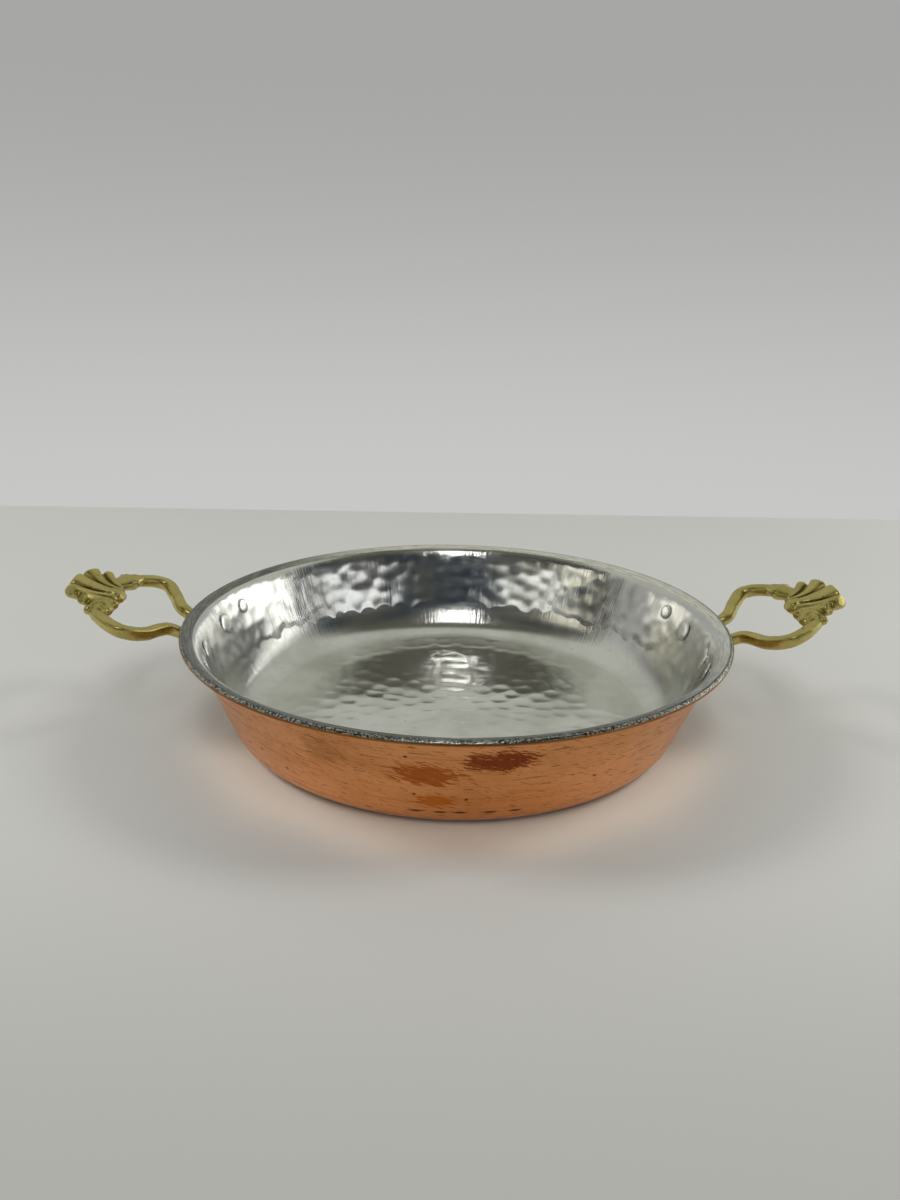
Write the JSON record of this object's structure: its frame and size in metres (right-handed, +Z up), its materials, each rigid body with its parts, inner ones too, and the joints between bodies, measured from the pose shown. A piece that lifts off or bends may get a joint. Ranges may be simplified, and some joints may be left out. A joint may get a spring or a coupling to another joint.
{
  "type": "kunafa pan",
  "caption": "Shallow round copper pan, tinned inside, with a turned-out rim and riveted cast brass handles that carry scallop shells.",
  "frame": {"origin": "centre of the pan's base, on the table", "axes": "+X through the middle of the right-hand handle, +Z up, +Y away from the viewer"},
  "size_m": [0.3122, 0.22, 0.0579],
  "materials": {
    "copper": "satin copper with light tarnish",
    "tin": "bright hammered tin",
    "cast_brass": "satin casting with darker recesses",
    "tinned_rivet": "copper rivet, tinned over"
  },
  "bodies": {
    "root": {"pan_body": "copper", "tin_lining": "tin", "handle_left": "cast_brass", "handle_right": "cast_brass", "rivet_large_left_back": "tinned_rivet", "rivet_large_left_front": "tinned_rivet", "rivet_large_right_back": "tinned_rivet", "rivet_large_right_front": "tinned_rivet", "rivet_small_left_back": "tinned_rivet", "rivet_small_left_front": "tinned_rivet", "rivet_small_right_back": "tinned_rivet", "rivet_small_right_front": "tinned_rivet"}
  },
  "joints": []
}
